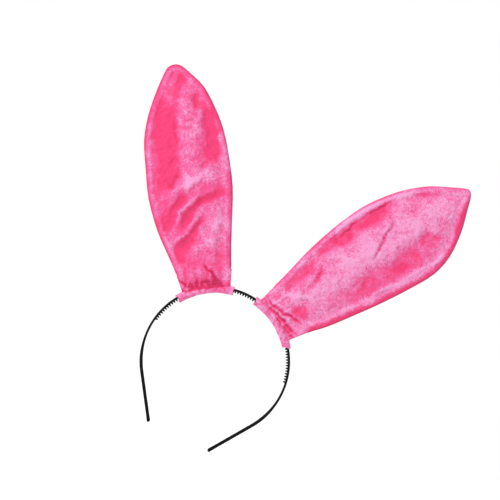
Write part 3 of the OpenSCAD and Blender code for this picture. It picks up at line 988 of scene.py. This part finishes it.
def make_casing(ear):
    """A soft tube round the hoop: the outside from one end to the other, then back through the bore."""
    clock = atan2(ear.neck[0], ear.neck[2])
    seed = SIDE_SEED[ear.name]
    rings, nap_sheen_and_shade_rows = [], []
    share = np.linspace(-1, 1, CASE_ROWS)
    for x in share:
        angle = CASE_ANGLE * x
        across = 64 * radians(angle)
        flare = ease(abs(x), 0.86, 1.0)
        wave = np.array([noise.noise(Vector((across / k, 3.1 * seed, k))) for k in (9.0, 4.0, 2.2)])
        low = CASE_LOW - 0.35 * wave[0] - 0.3 * wave[1]
        fat = 4.3 + 0.7 * wave[0] + 0.7 * wave[1] + 0.3 * wave[2] + 0.25 * flare
        waist = 0.9
        half = soften(outer_section(low, casing_top(angle), fat, waist), CASE_POINTS // 2 + 1)
        section = np.concatenate([half * (1, -1), half[::-1][1:-1]])
        # the cut ends are not quite square
        ragged = flare * copysign(1.0, x) * ripple(section[:, 0], section[:, 1], 3.5, seed + 33 + (x > 0))
        turn = clock + np.radians(angle + 2.6 * ragged)
        out = np.stack([np.sin(turn), 0 * turn, np.cos(turn)], 1)
        ring = CENTRE + section[:, :1] * out + section[:, 1:] * TO_BACK
        s = section[:, 0] * cos(radians(angle))
        tt = np.full(len(section), across)
        # the front and the back take different parts of the same ripple
        up = section[:, 0] + 9 * (section[:, 1] > 0)
        fine, broad = ripple(tt, up, 3.0, seed + 31), ripple(tt, up, 8.0, seed + 32)
        ring = ring + (0.7 * fine * np.sign(section[:, 1]))[:, None] * TO_BACK
        # the drawn-in valley over the roll is painted deeper, as shade in it, and a bulge of the fine ripple is
        # painted paler, as sheen
        valley_shade = ease(s, *ROLL_SHADE[ear.name]) * (1 - 0.5 * ease(abs(across), 18, 25))
        nap = 0.62 + 0.5 * fine + 0.4 * broad - ROLL_SHADE_DEPTH[ear.name] * valley_shade
        rings.append(ring)
        nap_sheen_and_shade_rows.append(nap)
    bore_low, bore_high, bore_half = BORE
    bore = []
    for k in range(CASE_POINTS):
        turn = 2 * pi * k / CASE_POINTS
        c, s = -cos(turn), -sin(turn)
        c, s = (copysign(abs(part) ** BORE_SQUARE, part) for part in (c, s))
        bore.append(((bore_low + bore_high) / 2 + (bore_high - bore_low) / 2 * c, bore_half * s))
    bore = np.array(bore)
    inner = []
    for x in share[::-1]:
        turn = clock + radians((CASE_ANGLE - 0.7) * x)
        inner.append(CENTRE + bore[:, :1] * compass(turn)[0] + bore[:, 1:] * TO_BACK)
    lips = []
    for outside, inside, turn in ((rings[-1], inner[0], 1), (rings[0], inner[-1], -1)):
        ahead = compass(clock + turn * radians(CASE_ANGLE + 0.45))[1]
        lips.append(0.62 * outside + 0.38 * inside + turn * 0.35 * ahead)
    points = np.array(rings + [lips[0]] + inner + [lips[1]])
    # the inside of the bore and the lips at the cut ends are painted deeper, as shade inside the tube
    bore_shade = [np.full(CASE_POINTS, 0.15)] * len(inner)
    nap = np.array(nap_sheen_and_shade_rows + [nap_sheen_and_shade_rows[-1] * 0.6] + bore_shade + [nap_sheen_and_shade_rows[0] * 0.6])
    mesh = grid_mesh(f"{ear.name}_casing_roll", points, close_rows=True, close_columns=True,
                     values=np.clip(nap, 0, 1))
    return link(f"{ear.name}_casing_roll", mesh, velour)


for name, ear in ears.items():
    roll = make_casing(ear)
    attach(roll, f"{name}_casing")
    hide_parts(f"{name}_casing")

# %% [markdown]
# ## Stitches
# A straight row of stitches closes each casing just above the hoop, in front and behind. Each is a short
# thread sunk in the pile. The places come from the finished cloth, and Geometry Nodes fill them.

# %% Stitches over the finished cloth
STITCH_GAP, STITCH_LONG, STITCH_THICK = 2.7, 1.9, 0.5
STITCH_HALF_ROW = 17.55
STITCH_BELOW_NECK = 1.6
STITCH_SUNK = 0.06


def make_stitch():
    """One stitch along X: a bar with rounded, sunken ends."""
    rings = []
    for x, share in ((-0.5, 0.35), (-0.42, 0.8), (-0.2, 1.0), (0.2, 1.0), (0.42, 0.8), (0.5, 0.35)):
        bow = 0.22 * (1 - (2 * x) ** 2)
        rings.append([(x * STITCH_LONG, share * STITCH_THICK / 2 * cos(a) - bow,
                       share * STITCH_THICK / 2 * sin(a)) for a in np.radians(np.arange(0, 360, 60))])
    return link("stitch", grid_mesh("stitch", capped(np.array(rings)), close_columns=True), thread)


def stitch_tree(stitch):
    """One stitch on every incoming point, turned by the point's own `turn`."""
    tree, given = node_group("stitch row", {})
    turn = add(tree, "GeometryNodeInputNamedAttribute", {"Name": "turn"}, data_type="FLOAT_VECTOR").outputs[0]
    one = add(tree, "GeometryNodeObjectInfo", {"Object": stitch}).outputs["Geometry"]
    laid = add(tree, "GeometryNodeInstanceOnPoints", None,
               {"Points": given["Geometry"], "Instance": one, "Rotation": turn})
    return give_back(tree, laid.outputs[0], thread)


stitch = make_stitch()
stitch_row = stitch_tree(stitch)
for name, ear in ears.items():
    t, h, front, back = surfaces[name]
    at_h = -NECK_TO_SEAM - STITCH_BELOW_NECK
    spots, turns = [], []
    lean = atan2(ear.neck[0], ear.neck[2])
    for surface, sign in ((front, -1), (back, 1)):
        for x in np.arange(-STITCH_HALF_ROW, STITCH_HALF_ROW + 0.1, STITCH_GAP):
            near = np.argmin((t - x) ** 2 + (h - at_h) ** 2)
            y = sign * (surface.ravel()[near] - STITCH_SUNK)
            spots.append(ear.place(x, at_h, y))
            turns.append((0.0 if sign < 0 else pi, lean, 0.0))
    mesh = bpy.data.meshes.new("stitch places")
    mesh.from_pydata(row(spots).tolist(), [], [])
    mesh.attributes.new("turn", "FLOAT_VECTOR", "POINT").data.foreach_set("vector", np.ravel(turns))
    stitches = link(f"{name}_stitch_row", mesh, thread)
    run_nodes(stitches, stitch_row, {}).data.shade_smooth()
    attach(stitches, f"{name}_casing")
    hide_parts(f"{name}_casing_stitches")
bpy.data.objects.remove(stitch)

# %% [markdown]
# ## Finishes of the hidden parts
# The wire, its tape and the seam threads stay as the imported model has them, and only take their finish.

# %% Paint the CAD parts that stay
for name in ears:
    for part, material in (("ear_wire", wire_steel), ("wire_wrap", tape), ("seam_thread", thread)):
        mesh = frame["nodes"][f"{name}_{part}"].data
        mesh.materials.clear()
        mesh.materials.append(material)

# %% [markdown]
# ## Floor and light
# A plain white floor under the lowest point and a white surround keep the picture bright and even. A large
# key light from the upper left gives the folds their form.

# %% Stage and light
KEY_FROM, KEY_SIZE, KEY_POWER = (-1.5, -0.9, 1.0), 0.7, 24.0
FILL_FROM, FILL_SIZE, FILL_POWER = (1.4, -1.6, 0.2), 1.2, 2.0
FLOOR_HALF = 3.0
low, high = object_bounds()
floor_mesh = bpy.data.meshes.new("floor")
corners = [(x * FLOOR_HALF, y * FLOOR_HALF, low.z - 0.2 * MM) for x, y in ((-1, -1), (1, -1), (1, 1), (-1, 1))]
floor_mesh.from_pydata(corners, [], [(0, 1, 2, 3)])
floor = put("floor", floor_mesh)
paper = new_material("white backdrop paper", {"Base Color": shade("#ffffff"), "Roughness": 0.9})
floor_mesh.materials.append(paper[0])


def area_light(name, place, size, power):
    """A square area light at a place, turned to face the object."""
    data = bpy.data.lights.new(name, "AREA")
    data.size, data.energy = size, power
    lamp = put(name, data)
    facing = (-Vector(place)).to_track_quat("-Z", "Y").to_matrix().to_4x4()
    lamp.matrix_world = Matrix.Translation(place) @ facing


area_light("key light", KEY_FROM, KEY_SIZE, KEY_POWER)
area_light("fill light", FILL_FROM, FILL_SIZE, FILL_POWER)
world = bpy.data.worlds.new("white surround")
bpy.context.scene.world = world
world.use_nodes = True
background = world.node_tree.nodes["Background"]
background.inputs["Color"].default_value = (1, 1, 1, 1)
background.inputs["Strength"].default_value = 1.0
bpy.context.scene.view_settings.view_transform = "Standard"
